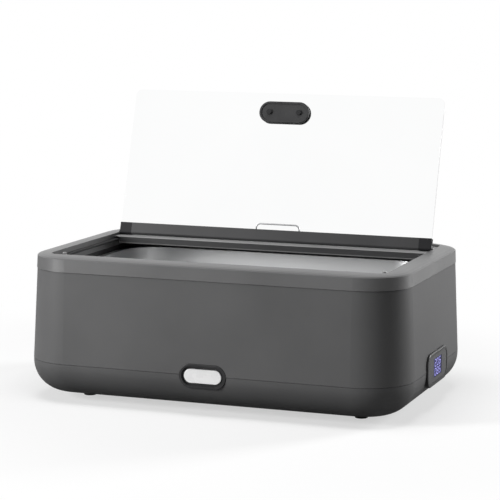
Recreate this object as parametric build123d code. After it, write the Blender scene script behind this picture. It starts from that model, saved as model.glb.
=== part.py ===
"""Electric chafing dish with a clear hinged lid and a lift-out food pan.

Millimetres, +Z up, +X to the right as the user faces the badge, +Y to the rear.
The origin is on the table, under the middle of the body.
The lid is drawn closed and then swung up to its open stop, which is the rest pose.
"""
from build123d import *
import math
import os

# Body outline at the lower seam, its seams above the table and its draft
BODY_WIDTH = 607.0
BODY_DEPTH = 402.0
BODY_CORNER_R = 77.0
DRAFT_DEG = 2.7
FOOT_HEIGHT = 11.0
BASE_SEAM_Z = 62.0
FRAME_SEAM_Z = 202.5
FRAME_EDGE_Z = 221.4
WALL = 3.0
SEAM_GAP = 0.6
SEAM_FIT = 0.15
LIP = 5.0
LIP_WIDTH = 2.4
BASE_ROUND_R = 48.0

# Top frame
FRAME_PROUD = 0.7
CROWN_RISE = 4.0
CROWN_RUN = 28.0
CROWN_STEPS = 4
RIM_SIDE = 36.5
RIM_END = 37.5
OPENING_CORNER_R = 16.0
COVER_LEDGE = 1.2
LEDGE_DROP = 10.5
FRAME_WEB = 4.0
SKIRT_WALL = 3.0
SKIRT_BOTTOM_Z = 205.0
SHELF_WIDTH = 12.0
SHELF_T = 2.5

# Lift-off cover: a flat ring and the rear deck that carries the hinge
COVER_FIT = 0.6
RING_T = 3.0
RING_SIDE = 8.0
RING_END = 11.0
RING_FRONT = 36.0
DECK_DROP = 3.8
DECK_NOSE = 21.6
DECK_SHEET = 1.5
DECK_LIP = 10.2
DECK_TRIM_R = 0.4
EAR_T = 1.5
EAR_R = 4.0

# Lid
LID_LEAN_DEG = 17.0
HINGE_FROM_REAR = 56.1
GLASS_T = 5.0
GLASS_SIDE_GAP = 0.6
GLASS_CORNER_R = 10.0
GLASS_FRONT_GAP = 28.9
GLASS_START = 5.0
GASKET_T = 0.8
CHANNEL_SHEET = 1.0
CHANNEL_REACH = 15.4
CAP_LENGTH = 20.0
CAP_GAP = 0.2
CAP_PROUD = 0.1
EAR_GAP = 0.5
DECK_CLEARANCE = 0.5
HEEL_GAP = 0.2
HEEL_WIDTH = 4.2
PIN_R = 1.5
PIN_CLEARANCE = 0.1
BUMPER_R = 3.0
BUMPER_INSET = 4.0
BUMPER_SIDE = 8.3
REST_GAP = 0.3

# Lid handle: plate inside the glass, grip outside, two screws through both
HANDLE_INSET = 32.0
HANDLE_LENGTH = 85.0
HANDLE_WIDTH = 35.0
HANDLE_SCREW_X = 25.2
HANDLE_SCREW_R = 2.5
HANDLE_PLATE_T = 4.0
HANDLE_PLATE_RIM = 3.5
HANDLE_PLATE_DISH = 1.5
HANDLE_SEAL_T = 0.8
SCREW_HEAD_R = 4.6
SCREW_HEAD_H = 3.0
GRIP_HEIGHT = 33.0
GRIP_TOP_HALF = 25.0
GRIP_FOOT_HALF = 31.0
GRIP_GAP_LENGTH = 34.0
GRIP_WAIST = 16.0
GRIP_FOOT_T = 7.0
GRIP_BAR_T = 8.0

# Wire bail on the deck
BAIL_WIDTH = 76.0
BAIL_FROM_REAR = 27.9
BAIL_RISE = 27.3
BAIL_WIRE_R = 1.25
BAIL_BEND_R = 7.0

# Food pan, well, heater and insulation
PAN_SIDE_GAP = 2.5
PAN_END_GAP = 1.5
PAN_FLANGE_R = 14.0
PAN_FLANGE = 10.5
PAN_MOUTH_R = 60.0
PAN_INNER_DEPTH = 65.0
PAN_SHEET = 1.0
PAN_SHRINK = 4.0
PAN_BOTTOM_R = 13.0
PAN_TOP_Z = 197.5
WELL_SHEET = 1.0
WELL_FLANGE = 12.0
WELL_SIDE_GAP = 2.5
WELL_BELOW_PAN = 5.0
WELL_SCREW_R = 1.5
WELL_SCREW_HEAD_R = 3.0
WELL_SCREW_OUT = 6.0
WELL_SCREW_LENGTH = 9.0
HEATER_T = 4.0
HEATER_MARGIN = 40.0
ELEMENT_R = 3.2
ELEMENT_RUNS = 6
ELEMENT_PITCH = 34.0
ELEMENT_LENGTH = 380.0
CLAMP_T = 1.5
CLAMP_WIDTH = 14.0
INSULATION_T = 12.0
SHIELD_SHEET = 1.0
SHIELD_LIP_Z = 185.0

# Badge on the front seam
BADGE_LENGTH = 59.0
BADGE_HEIGHT = 21.0
BADGE_Z = 61.0
BEZEL_RIM = 7.8
BEZEL_PROUD = 0.8
BEZEL_DISH = 3.0
BEZEL_DEPTH = 9.0
BADGE_PLATE_T = 1.6
CUP_FIT = 0.15

# Control panel on the right-hand side
PANEL_LENGTH = 118.0
PANEL_HEIGHT = 51.0
PANEL_CORNER_R = 18.0
PANEL_Z = 62.0
PANEL_PROUD = 2.5
PANEL_DEPTH = 24.0
PANEL_WALL = 2.5
PANEL_RIM = 5.0
PANEL_DISH = 2.0
FASCIA_T = 1.5
SCREEN_LENGTH = 46.0
SCREEN_HEIGHT = 28.0
SCREEN_Z = 63.0
SCREEN_T = 2.0
SCREEN_CORNER_R = 2.0
DISPLAY_T = 5.0
BOARD_T = 1.6
BOARD_LENGTH = 92.0
BOARD_HEIGHT = 40.0
BOARD_SCREW_R = 1.2

# Feet, bottom cover and base screws
FOOT_SIDE = 83.5
FOOT_END = 86.0
FOOT_R = 9.5
FOOT_TOP_R = 12.0
FOOT_SCREW_R = 2.0
FOOT_SCREW_HEAD_R = 4.0
HATCH_LENGTH = 300.0
HATCH_WIDTH = 170.0
HATCH_LAP = 9.0
HATCH_SHEET = 1.2
HATCH_SCREW_R = 1.5
HATCH_SCREW_HEAD_R = 3.0
VENT_LENGTH = 40.0
VENT_WIDTH = 4.0
VENT_PITCH = 10.0
VENT_COUNT = 6
VENT_X = 80.0
BOSS_INSET = 38.0
BOSS_R = 5.0
BOSS_SPLIT_Z = 30.0
BOSS_TOP_Z = 74.0
BASE_SCREW_R = 2.0
BASE_SCREW_TOP_Z = 44.0
BASE_SCREW_HEAD_R = 4.0
RIB_T = 3.0

# Rear inlet and switch
REAR_Z = 96.0
INLET_X = -170.0
INLET_WIDTH = 27.5
INLET_HEIGHT = 20.0
INLET_DEPTH = 24.0
INLET_FLANGE_W = 50.0
INLET_FLANGE_H = 26.0
REAR_FLANGE_T = 2.0
INLET_SCREW_R = 1.6
INLET_SCREW_HEAD_R = 3.0
INLET_SCREW_PITCH = 40.0
BLADE_PITCH = 7.0
SWITCH_X = -110.0
SWITCH_WIDTH = 13.0
SWITCH_HEIGHT = 19.0
SWITCH_DEPTH = 16.0
SWITCH_RIM = 2.0
ROCKER_GAP = 0.6
ROCKER_TILT_DEG = 9.0
ROCKER_PROUD = 2.5
ROCKER_PIVOT_IN = 4.0
TERMINAL_SIZE = (46.0, 22.0, 18.0)
TERMINAL_AT = (-200.0, 70.0)
WIRE_R = 1.6

# Worked out from the sizes above
HALF_W = BODY_WIDTH / 2
HALF_D = BODY_DEPTH / 2
OPENING_WIDTH = BODY_WIDTH - 2 * RIM_SIDE
OPENING_DEPTH = BODY_DEPTH - 2 * RIM_END
PAN_WIDTH = OPENING_WIDTH - 2 * PAN_SIDE_GAP
PAN_DEPTH = OPENING_DEPTH - 2 * PAN_END_GAP
PAN_MOUTH_WIDTH = PAN_WIDTH - 2 * PAN_FLANGE
PAN_MOUTH_DEPTH = PAN_DEPTH - 2 * PAN_FLANGE
PANEL_X = HALF_W + PANEL_PROUD
FOOT_X = HALF_W - FOOT_SIDE
FOOT_Y = HALF_D - FOOT_END
CROWN_Z = FRAME_EDGE_Z + CROWN_RISE
LEDGE_Z = CROWN_Z - LEDGE_DROP
RING_TOP_Z = LEDGE_Z + RING_T
COVER_HALF_W = OPENING_WIDTH / 2 - COVER_FIT
COVER_HALF_D = OPENING_DEPTH / 2 - COVER_FIT
COVER_CORNER_R = OPENING_CORNER_R - COVER_FIT
HINGE_Y = COVER_HALF_D - HINGE_FROM_REAR
DECK_FRONT_Y = HINGE_Y - DECK_NOSE
BAIL_Y = COVER_HALF_D - BAIL_FROM_REAR
CHANNEL_HALF = GLASS_T / 2 + GASKET_T + CHANNEL_SHEET
DECK_Z = CROWN_Z - DECK_DROP
HINGE_Z = DECK_Z + DECK_CLEARANCE + CHANNEL_HALF
LID_SWING_DEG = 90.0 + LID_LEAN_DEG
LID_HALF_WIDTH = COVER_HALF_W - EAR_T - EAR_GAP
GLASS_HALF_WIDTH = LID_HALF_WIDTH - GLASS_SIDE_GAP
GLASS_REACH = HINGE_Y + COVER_HALF_D - GLASS_FRONT_GAP
HANDLE_REACH = GLASS_REACH - HANDLE_INSET
BUMPER_X = GLASS_HALF_WIDTH - BUMPER_SIDE
LEDGE_HALF_W = OPENING_WIDTH / 2 - COVER_LEDGE
LEDGE_HALF_D = OPENING_DEPTH / 2 - COVER_LEDGE
PAN_FLOOR_Z = PAN_TOP_Z - PAN_INNER_DEPTH
PAN_SEAT_Z = PAN_TOP_Z - PAN_SHEET
WELL_FLOOR_Z = PAN_FLOOR_Z - PAN_SHEET - WELL_BELOW_PAN
WELL_HALF_W = PAN_MOUTH_WIDTH / 2 + PAN_SHEET + WELL_SIDE_GAP
WELL_HALF_D = PAN_MOUTH_DEPTH / 2 + PAN_SHEET + WELL_SIDE_GAP
WELL_R = PAN_MOUTH_R + PAN_SHEET + WELL_SIDE_GAP
WELL_UNDER_Z = WELL_FLOOR_Z - WELL_SHEET
ELEMENT_Z = WELL_UNDER_Z - ELEMENT_R
CLAMP_UNDER_Z = ELEMENT_Z - ELEMENT_R - CLAMP_T
SHIELD_FLOOR_Z = CLAMP_UNDER_Z - INSULATION_T
FLOOR_Z = FOOT_HEIGHT + WALL
BASE_SCREW_HEAD_Z = FOOT_HEIGHT + 9.0
REAR_LOW_Z = REAR_Z - INLET_FLANGE_H / 2
REAR_Y = HALF_D - (REAR_LOW_Z - BASE_SEAM_Z) * math.tan(math.radians(DRAFT_DEG))

UP = (Align.CENTER, Align.CENTER, Align.MIN)
DOWN = (Align.CENTER, Align.CENTER, Align.MAX)


def inset_at(z):
    """How far the drafted wall has come in from the lower seam at height z."""
    return (z - BASE_SEAM_Z) * math.tan(math.radians(DRAFT_DEG))


def outline(inset):
    """The body's rounded outline, moved in by inset all round."""
    width = 2 * (HALF_W - inset)
    depth = 2 * (HALF_D - inset)
    return RectangleRounded(width, depth, BODY_CORNER_R - inset)


def drafted_block(z_low, z_high, inset=0.0):
    """The body's outline between two heights, following the draft."""
    low = Pos(0, 0, z_low) * outline(inset_at(z_low) + inset)
    high = Pos(0, 0, z_high) * outline(inset_at(z_high) + inset)
    return loft([low.face(), high.face()], ruled=True)


def drafted_ring(z_low, z_high, outer, inner):
    """A ring that follows the body wall, between two insets."""
    return drafted_block(z_low, z_high, outer) - drafted_block(z_low - 1, z_high + 1, inner)


def slab(half_w, half_d, z_low, z_high, x=0.0, y=0.0, corner_r=0.0):
    """A block between two heights, with rounded upright edges."""
    shape = Rectangle(2 * half_w, 2 * half_d)
    if corner_r:
        shape = RectangleRounded(2 * half_w, 2 * half_d, corner_r)
    return extrude(Pos(x, y, z_low) * shape, z_high - z_low)


def box_between(x0, x1, y0, y1, z0, z1):
    """A plain block given by its limits."""
    return Pos(x0, y0, z0) * Box(x1 - x0, y1 - y0, z1 - z0, align=(Align.MIN,) * 3)


def rod(x, y, z_low, z_high, radius):
    """An upright round rod, also used to cut holes."""
    return Pos(x, y, z_low) * Cylinder(radius, z_high - z_low, align=UP)


def screw(x, y, z_head, length, radius, head_r):
    """A pan head screw that points up from its head at z_head."""
    head = Pos(x, y, z_head) * Cylinder(head_r, head_r * 0.6, align=DOWN)
    top = head.edges().sort_by(Axis.Z)[0]
    head = chamfer(top, head_r * 0.25)
    return head + rod(x, y, z_head, z_head + length, radius)


def mirrored(places):
    """Every place with both signs of x and of y."""
    return [(sx * x, sy * y) for x, y in places for sx in (-1, 1) for sy in (-1, 1)]


def front_plane(y, z):
    return Plane(origin=(0, y, z), x_dir=(1, 0, 0), z_dir=(0, -1, 0))


def right_plane(x, z):
    return Plane(origin=(x, 0, z), x_dir=(0, 1, 0), z_dir=(1, 0, 0))


def rear_plane(x, z):
    return Plane(origin=(x, REAR_Y, z), x_dir=(-1, 0, 0), z_dir=(0, 1, 0))


def prism(plane, sketch, start, end):
    """A sketch pushed along a plane's normal from start to end."""
    return extrude(plane.offset(start) * sketch, end - start)


def badge_shape(margin=0.0):
    return SlotOverall(BADGE_LENGTH + 2 * margin, BADGE_HEIGHT + 2 * margin)


def panel_shape(margin=0.0):
    length = PANEL_LENGTH + 2 * margin
    height = PANEL_HEIGHT + 2 * margin
    return RectangleRounded(length, height, PANEL_CORNER_R + margin)


def wall_holes():
    """The holes that the bezels, the inlet and the switch need in the walls."""
    badge = prism(
        front_plane(-HALF_D, BADGE_Z), badge_shape(BEZEL_RIM + CUP_FIT), -BEZEL_DEPTH, 5
    )
    panel = prism(
        right_plane(PANEL_X, PANEL_Z), panel_shape(CUP_FIT), -PANEL_DEPTH, 5
    )
    inlet = prism(
        rear_plane(INLET_X, REAR_Z), Rectangle(INLET_WIDTH + 0.3, INLET_HEIGHT + 0.3), -9, 5
    )
    switch = prism(
        rear_plane(SWITCH_X, REAR_Z), Rectangle(SWITCH_WIDTH + 0.3, SWITCH_HEIGHT + 0.3), -9, 5
    )
    holes = [badge, panel, inlet, switch]
    for side in (-1, 1):
        x = INLET_X + side * INLET_SCREW_PITCH / 2
        holes.append(prism(rear_plane(x, REAR_Z), Circle(INLET_SCREW_R), -9, 5))
    return holes


# Places for the fasteners
def foot_places():
    return mirrored([(FOOT_X, FOOT_Y)])


def boss_places():
    return mirrored([(110.0, HALF_D - BOSS_INSET), (HALF_W - BOSS_INSET, 95.0)])


def hatch_screw_places():
    return mirrored([(HATCH_LENGTH / 2 + HATCH_LAP / 2, HATCH_WIDTH / 2 - 15)])


def well_screw_places():
    side = OPENING_WIDTH / 2 - COVER_LEDGE + SKIRT_WALL + WELL_SCREW_OUT
    end = OPENING_DEPTH / 2 - COVER_LEDGE + SKIRT_WALL + WELL_SCREW_OUT
    return mirrored([(side, 100.0), (170.0, end)])


def frame_screw_places():
    inset = inset_at(FRAME_SEAM_Z) + WALL + SHELF_WIDTH / 2 + 1
    return mirrored([(HALF_W - inset, 60.0), (80.0, HALF_D - inset)])


# Housing
def body_shell():
    top = FRAME_SEAM_Z - SEAM_GAP
    shell = drafted_ring(BASE_SEAM_Z + SEAM_GAP, top, 0.0, WALL)
    shelf_low = BASE_SEAM_Z + SEAM_GAP
    shell += drafted_ring(shelf_low, shelf_low + WALL, WALL / 2, WALL + LIP_WIDTH)
    lip = WALL + 3 * SEAM_FIT
    shell += drafted_ring(BASE_SEAM_Z - LIP, shelf_low + 1, lip, WALL + LIP_WIDTH)
    shell += drafted_ring(top - WALL, top, WALL / 2, WALL + LIP_WIDTH)
    shell += drafted_ring(top - 1, FRAME_SEAM_Z + LIP, lip, WALL + LIP_WIDTH)
    shelf_top = top - WALL
    shell += drafted_ring(shelf_top - SHELF_T, shelf_top, WALL / 2, WALL + SHELF_WIDTH)
    for x, y in boss_places():
        shell += rod(x, y, BOSS_SPLIT_Z, BOSS_TOP_Z, BOSS_R)
        shell += rib_to_wall(x, y)
    for x, y in boss_places():
        shell -= rod(x, y, BOSS_SPLIT_Z - 1, BOSS_SPLIT_Z + 16, BASE_SCREW_R)
    for x, y in frame_screw_places():
        shell -= rod(x, y, shelf_top - SHELF_T - 1, shelf_top + 1, WELL_SCREW_R + 0.2)
    for hole in wall_holes():
        shell -= hole
    return shell


def rib_to_wall(x, y):
    """A rib from a boss to the nearest wall, just above the lip."""
    low = BASE_SEAM_Z + SEAM_GAP
    if abs(y) > abs(x):
        start = min(y, math.copysign(HALF_D - WALL, y))
        end = max(y, math.copysign(HALF_D - WALL, y))
        return box_between(x - RIB_T / 2, x + RIB_T / 2, start, end, low, BOSS_TOP_Z)
    start = min(x, math.copysign(HALF_W - WALL, x))
    end = max(x, math.copysign(HALF_W - WALL, x))
    return box_between(start, end, y - RIB_T / 2, y + RIB_T / 2, low, BOSS_TOP_Z)


def base_block(inset):
    """The rounded tray, or the space inside it when inset by the wall."""
    low = FOOT_HEIGHT + inset
    block = extrude(Pos(0, 0, low) * outline(inset + SEAM_FIT), BASE_SEAM_Z - low)
    bottom = block.faces().sort_by(Axis.Z)[0]
    return fillet(bottom.edges(), BASE_ROUND_R - inset)


def base_shell():
    space = base_block(WALL)
    shell = base_block(0.0) - space
    for x, y in boss_places():
        shell += rod(x, y, FOOT_HEIGHT + 6, BOSS_SPLIT_Z, BOSS_R + 1)
        shell -= rod(x, y, 0, BOSS_SPLIT_Z + 1, BASE_SCREW_R + 0.2)
        shell -= rod(x, y, 0, BASE_SCREW_HEAD_Z, BASE_SCREW_HEAD_R + 0.3)
    for x, y in foot_places():
        shell += rod(x, y, FLOOR_Z, FLOOR_Z + 8, FOOT_SCREW_R + 3)
        shell -= rod(x, y, 0, FLOOR_Z + 6, FOOT_SCREW_R)
    hatch_top = FOOT_HEIGHT + HATCH_SHEET
    shell -= slab(HATCH_LENGTH / 2, HATCH_WIDTH / 2, 0, FLOOR_Z + 1, corner_r=8)
    lap = HATCH_LAP + 0.3
    shell -= slab(HATCH_LENGTH / 2 + lap, HATCH_WIDTH / 2 + lap, 0, hatch_top, corner_r=10)
    for x, y in hatch_screw_places():
        shell += rod(x, y, FLOOR_Z, FLOOR_Z + 6, HATCH_SCREW_R + 2.5)
        shell -= rod(x, y, 0, FLOOR_Z + 5, HATCH_SCREW_R)
    for hole in wall_holes():
        shell -= hole
    return shell


def crowned_block():
    """The frame before it is hollowed: a drafted band under a low crown."""
    low = Pos(0, 0, FRAME_SEAM_Z) * outline(inset_at(FRAME_SEAM_Z) - FRAME_PROUD)
    edge = inset_at(FRAME_EDGE_Z) - FRAME_PROUD
    rings = []
    for i in range(CROWN_STEPS + 1):
        turn = math.radians(90.0 * i / CROWN_STEPS)
        run = CROWN_RUN * (1 - math.cos(turn))
        rise = CROWN_RISE * math.sin(turn)
        rings.append((Pos(0, 0, FRAME_EDGE_Z + rise) * outline(edge + run)).face())
    band = loft([low.face(), rings[0]], ruled=True)
    return band + loft(rings, ruled=True)


def top_frame():
    frame = crowned_block()
    half_w = OPENING_WIDTH / 2
    half_d = OPENING_DEPTH / 2
    skirt_w = LEDGE_HALF_W + SKIRT_WALL
    skirt_d = LEDGE_HALF_D + SKIRT_WALL
    skirt_r = OPENING_CORNER_R + SKIRT_WALL
    hollow_top = LEDGE_Z - FRAME_WEB
    hollow = drafted_block(FRAME_SEAM_Z - 1, hollow_top, WALL + LIP_WIDTH + SEAM_FIT)
    hollow += drafted_block(FRAME_SEAM_Z - 1, FRAME_SEAM_Z + LIP + 0.3, WALL)
    hollow -= slab(skirt_w, skirt_d, SKIRT_BOTTOM_Z, CROWN_Z, corner_r=skirt_r)
    frame -= hollow
    ledge_r = OPENING_CORNER_R - COVER_LEDGE
    frame -= slab(LEDGE_HALF_W, LEDGE_HALF_D, FRAME_SEAM_Z - 1, CROWN_Z + 1, corner_r=ledge_r)
    frame -= slab(half_w, half_d, LEDGE_Z, CROWN_Z + 1, corner_r=OPENING_CORNER_R)
    for x, y in well_screw_places():
        frame += rod(x, y, SKIRT_BOTTOM_Z, hollow_top + 1, WELL_SCREW_R + 2.5)
        frame -= rod(x, y, SKIRT_BOTTOM_Z - 1, hollow_top - 1, WELL_SCREW_R)
    shelf_top = FRAME_SEAM_Z - SEAM_GAP - WALL
    for x, y in frame_screw_places():
        frame += rod(x, y, shelf_top, hollow_top + 1, WELL_SCREW_R + 1.8)
        frame -= rod(x, y, shelf_top - 1, shelf_top + 8, WELL_SCREW_R)
    return frame


def frame_screws():
    z = FRAME_SEAM_Z - SEAM_GAP - WALL - SHELF_T
    return [
        screw(x, y, z, WELL_SCREW_LENGTH, WELL_SCREW_R, WELL_SCREW_HEAD_R)
        for x, y in frame_screw_places()
    ]


def base_screws():
    z = BASE_SCREW_HEAD_Z
    length = BASE_SCREW_TOP_Z - z
    return [screw(x, y, z, length, BASE_SCREW_R, BASE_SCREW_HEAD_R) for x, y in boss_places()]


def inner_well():
    """A pressed tub with a seat for the pan's flange, hung from the frame."""
    flange_w = LEDGE_HALF_W + SKIRT_WALL + WELL_FLANGE
    flange_d = LEDGE_HALF_D + SKIRT_WALL + WELL_FLANGE
    seat_z = PAN_SEAT_Z - WELL_SHEET
    sheet = WELL_SHEET
    ledge_r = OPENING_CORNER_R - COVER_LEDGE
    top = SKIRT_BOTTOM_Z
    tub = slab(flange_w, flange_d, top - sheet, top, corner_r=ledge_r + SKIRT_WALL + WELL_FLANGE)
    outer_w = LEDGE_HALF_W + sheet
    outer_d = LEDGE_HALF_D + sheet
    tub += slab(outer_w, outer_d, seat_z, top - sheet / 2, corner_r=ledge_r + sheet)
    tub += slab(
        WELL_HALF_W + sheet, WELL_HALF_D + sheet, WELL_UNDER_Z, seat_z, corner_r=WELL_R + sheet
    )
    tub -= slab(LEDGE_HALF_W, LEDGE_HALF_D, PAN_SEAT_Z, top + 1, corner_r=ledge_r)
    tub -= slab(WELL_HALF_W, WELL_HALF_D, WELL_FLOOR_Z, top + 1, corner_r=WELL_R)
    for x, y in well_screw_places():
        tub -= rod(x, y, top - 2, top + 1, WELL_SCREW_R + 0.2)
    return tub


def well_screws():
    z = SKIRT_BOTTOM_Z - WELL_SHEET
    length = LEDGE_Z - FRAME_WEB - 1.4 - z
    return [screw(x, y, z, length, WELL_SCREW_R, WELL_SCREW_HEAD_R) for x, y in well_screw_places()]


def food_pan():
    """A drawn steel pan with a flat flange and large corner radii."""

    def bowl(grow, z_low):
        top = Pos(0, 0, PAN_TOP_Z) * RectangleRounded(
            PAN_MOUTH_WIDTH + 2 * grow, PAN_MOUTH_DEPTH + 2 * grow, PAN_MOUTH_R + grow
        )
        low = Pos(0, 0, z_low) * RectangleRounded(
            PAN_MOUTH_WIDTH - 2 * PAN_SHRINK + 2 * grow,
            PAN_MOUTH_DEPTH - 2 * PAN_SHRINK + 2 * grow,
            PAN_MOUTH_R - PAN_SHRINK + grow,
        )
        block = loft([low.face(), top.face()], ruled=True)
        return fillet(block.faces().sort_by(Axis.Z)[0].edges(), PAN_BOTTOM_R + grow)

    low = PAN_SEAT_Z + REST_GAP / 3
    flange = slab(PAN_WIDTH / 2, PAN_DEPTH / 2, low, PAN_TOP_Z, corner_r=PAN_FLANGE_R)
    return flange + bowl(PAN_SHEET, PAN_FLOOR_Z - PAN_SHEET) - bowl(0.0, PAN_FLOOR_Z)


def heater_plate():
    half_w = WELL_HALF_W - HEATER_MARGIN
    half_d = WELL_HALF_D - HEATER_MARGIN
    plate = slab(half_w, half_d, WELL_FLOOR_Z, WELL_FLOOR_Z + HEATER_T, corner_r=24)
    top = plate.faces().sort_by(Axis.Z)[-1]
    return fillet(top.edges(), 1.5)


def heating_element():
    """One tube in long runs with round returns, against the underside of the well."""
    half = ELEMENT_LENGTH / 2
    first = -ELEMENT_PITCH * (ELEMENT_RUNS - 1) / 2
    edges = []
    for i in range(ELEMENT_RUNS):
        y = first + i * ELEMENT_PITCH
        side = half if i % 2 == 0 else -half
        edges.append(Line((-side, y, ELEMENT_Z), (side, y, ELEMENT_Z)).edge())
        if i < ELEMENT_RUNS - 1:
            middle = (side + math.copysign(ELEMENT_PITCH / 2, side), y + ELEMENT_PITCH / 2)
            turn = ThreePointArc(
                (side, y, ELEMENT_Z), (*middle, ELEMENT_Z), (side, y + ELEMENT_PITCH, ELEMENT_Z)
            )
            edges.append(turn.edge())
    start = Plane(origin=(-half, first, ELEMENT_Z), x_dir=(0, 1, 0), z_dir=(1, 0, 0))
    return sweep(start * Circle(ELEMENT_R), path=Wire(edges))


def element_clamps():
    """Straps that hold the element up, with a foot at each end on the well."""
    half_d = ELEMENT_PITCH * ELEMENT_RUNS / 2
    clamps = []
    for x in (-ELEMENT_LENGTH / 3, 0, ELEMENT_LENGTH / 3):
        low = CLAMP_UNDER_Z
        strap = slab(CLAMP_WIDTH / 2, half_d + 8, low, low + CLAMP_T, x=x)
        for side in (-1, 1):
            y = side * (half_d + 8 - CLAMP_T / 2)
            strap += slab(CLAMP_WIDTH / 2, CLAMP_T / 2, low, WELL_UNDER_Z, x=x, y=y)
        clamps.append(strap)
    return clamps


def shield_space(z_low, z_high, grow=0.0):
    half_w = WELL_HALF_W + WELL_SHEET + INSULATION_T + grow
    half_d = WELL_HALF_D + WELL_SHEET + INSULATION_T + grow
    return slab(half_w, half_d, z_low, z_high, corner_r=WELL_R + INSULATION_T + grow)


def well_outside(z_low, z_high):
    half_w = WELL_HALF_W + WELL_SHEET
    half_d = WELL_HALF_D + WELL_SHEET
    return slab(half_w, half_d, z_low, z_high, corner_r=WELL_R + WELL_SHEET)


def insulation_blanket():
    blanket = shield_space(SHIELD_FLOOR_Z, SHIELD_LIP_Z - SHIELD_SHEET)
    return blanket - well_outside(CLAMP_UNDER_Z, SHIELD_LIP_Z)


def heat_shield():
    low = SHIELD_FLOOR_Z - SHIELD_SHEET
    shield = shield_space(low, SHIELD_LIP_Z, SHIELD_SHEET)
    shield -= shield_space(SHIELD_FLOOR_Z, SHIELD_LIP_Z - SHIELD_SHEET)
    return shield - well_outside(CLAMP_UNDER_Z, SHIELD_LIP_Z + 1)


def temperature_sensor():
    """A probe clipped under the well, between two runs of the element."""
    z = WELL_UNDER_Z - 2.0
    plane = Plane(origin=(40, 0, z), x_dir=(0, 1, 0), z_dir=(1, 0, 0))
    probe = prism(plane, Circle(2.0), 0, 45)
    return fillet(probe.edges().sort_by(Axis.X)[0], 1.2)


def thermal_cutout():
    """A disc thermostat with two blade terminals, held under the well."""
    x = -60.0
    body = rod(x, 0, WELL_UNDER_Z - 5, WELL_UNDER_Z, 8)
    for side in (-1, 1):
        body += box_between(
            x + side * 4 - 0.4, x + side * 4 + 0.4, -3, 3, CLAMP_UNDER_Z + 0.5, WELL_UNDER_Z - 5
        )
    return body


# Control panel and badge
def control_bezel():
    plane = right_plane(PANEL_X, PANEL_Z)
    cup = prism(plane, panel_shape(), -PANEL_DEPTH, 0)
    front = cup.faces().sort_by(Axis.X)[-1]
    cup = fillet(front.edges(), 1.6)
    cup -= prism(plane, panel_shape(-PANEL_RIM), -PANEL_DISH, 1)
    cup -= prism(plane, panel_shape(-PANEL_WALL), -PANEL_DEPTH - 1, -PANEL_DISH - PANEL_WALL)
    cup -= screen_prism(-PANEL_DISH - PANEL_WALL - 1, 0, 0.2)
    return cup


def screen_prism(start, end, margin=0.0):
    plane = right_plane(PANEL_X, SCREEN_Z)
    length = SCREEN_LENGTH + 2 * margin
    height = SCREEN_HEIGHT + 2 * margin
    return prism(plane, RectangleRounded(length, height, SCREEN_CORNER_R + margin), start, end)


def control_fascia():
    """The touch film on the bezel's floor, with a window for the screen."""
    plane = right_plane(PANEL_X, PANEL_Z)
    top = -PANEL_DISH + FASCIA_T
    film = prism(plane, panel_shape(-PANEL_RIM - 0.2), -PANEL_DISH, top)
    return film - screen_prism(-PANEL_DISH - 1, 1, 0.2)


def display_window():
    top = -PANEL_DISH + FASCIA_T - 0.3
    return screen_prism(top - SCREEN_T, top)


def display_module():
    """The display behind the window, which stands on the board."""
    front = -PANEL_DISH + FASCIA_T - 0.3 - SCREEN_T - 0.2
    neck = screen_prism(-PANEL_DISH - PANEL_WALL - 0.5, front, -0.3)
    return neck + screen_prism(front - DISPLAY_T - 3, -PANEL_DISH - PANEL_WALL - 0.2, 3.0)


def board_x():
    return -PANEL_DISH + FASCIA_T - 0.3 - SCREEN_T - 0.2 - DISPLAY_T - 3


def control_board():
    plane = right_plane(PANEL_X, PANEL_Z)
    outline_2d = RectangleRounded(BOARD_LENGTH, BOARD_HEIGHT, 3)
    board = prism(plane, outline_2d, board_x() - BOARD_T, board_x())
    for y in (-30, 30):
        part_plane = Plane(origin=(PANEL_X, y, PANEL_Z), x_dir=(0, 1, 0), z_dir=(1, 0, 0))
        back = board_x() - BOARD_T
        board += prism(part_plane, Rectangle(14, 18), back - 5, back)
    for y, z in board_screw_places():
        hole = Plane(origin=(PANEL_X, y, z), x_dir=(0, 1, 0), z_dir=(1, 0, 0))
        board -= prism(hole, Circle(BOARD_SCREW_R + 0.2), -PANEL_DEPTH, 0)
    return board


def board_screw_places():
    y = BOARD_LENGTH / 2 - 5
    z = BOARD_HEIGHT / 2 - 5
    return [(sy * y, PANEL_Z + sz * z) for sy in (-1, 1) for sz in (-1, 1)]


def board_posts():
    """Posts from the bezel's floor to the board, one solid with the bezel."""
    posts = []
    for y, z in board_screw_places():
        plane = Plane(origin=(PANEL_X, y, z), x_dir=(0, 1, 0), z_dir=(1, 0, 0))
        post = prism(plane, Circle(3.2), board_x(), -PANEL_DISH - PANEL_WALL + 0.5)
        posts.append(post - prism(plane, Circle(BOARD_SCREW_R), board_x() - 1, board_x() + 3.5))
    return posts


def board_screws():
    screws = []
    for y, z in board_screw_places():
        plane = Plane(origin=(PANEL_X, y, z), x_dir=(0, 1, 0), z_dir=(1, 0, 0))
        back = board_x() - BOARD_T
        shank = prism(plane, Circle(BOARD_SCREW_R), back, board_x() + 3)
        screws.append(shank + prism(plane, Circle(2.4), back - 1.6, back))
    return screws


def control_housing():
    housing = control_bezel()
    for post in board_posts():
        housing += post
    return housing


def badge_bezel():
    plane = front_plane(-HALF_D - BEZEL_PROUD, BADGE_Z)
    cup = prism(plane, badge_shape(BEZEL_RIM), -BEZEL_DEPTH, 0)
    front = cup.faces().sort_by(Axis.Y)[0]
    cup = fillet(front.edges(), 1.2)
    return cup - prism(plane, badge_shape(BEZEL_RIM / 2), -BEZEL_DISH, 1)


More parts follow.
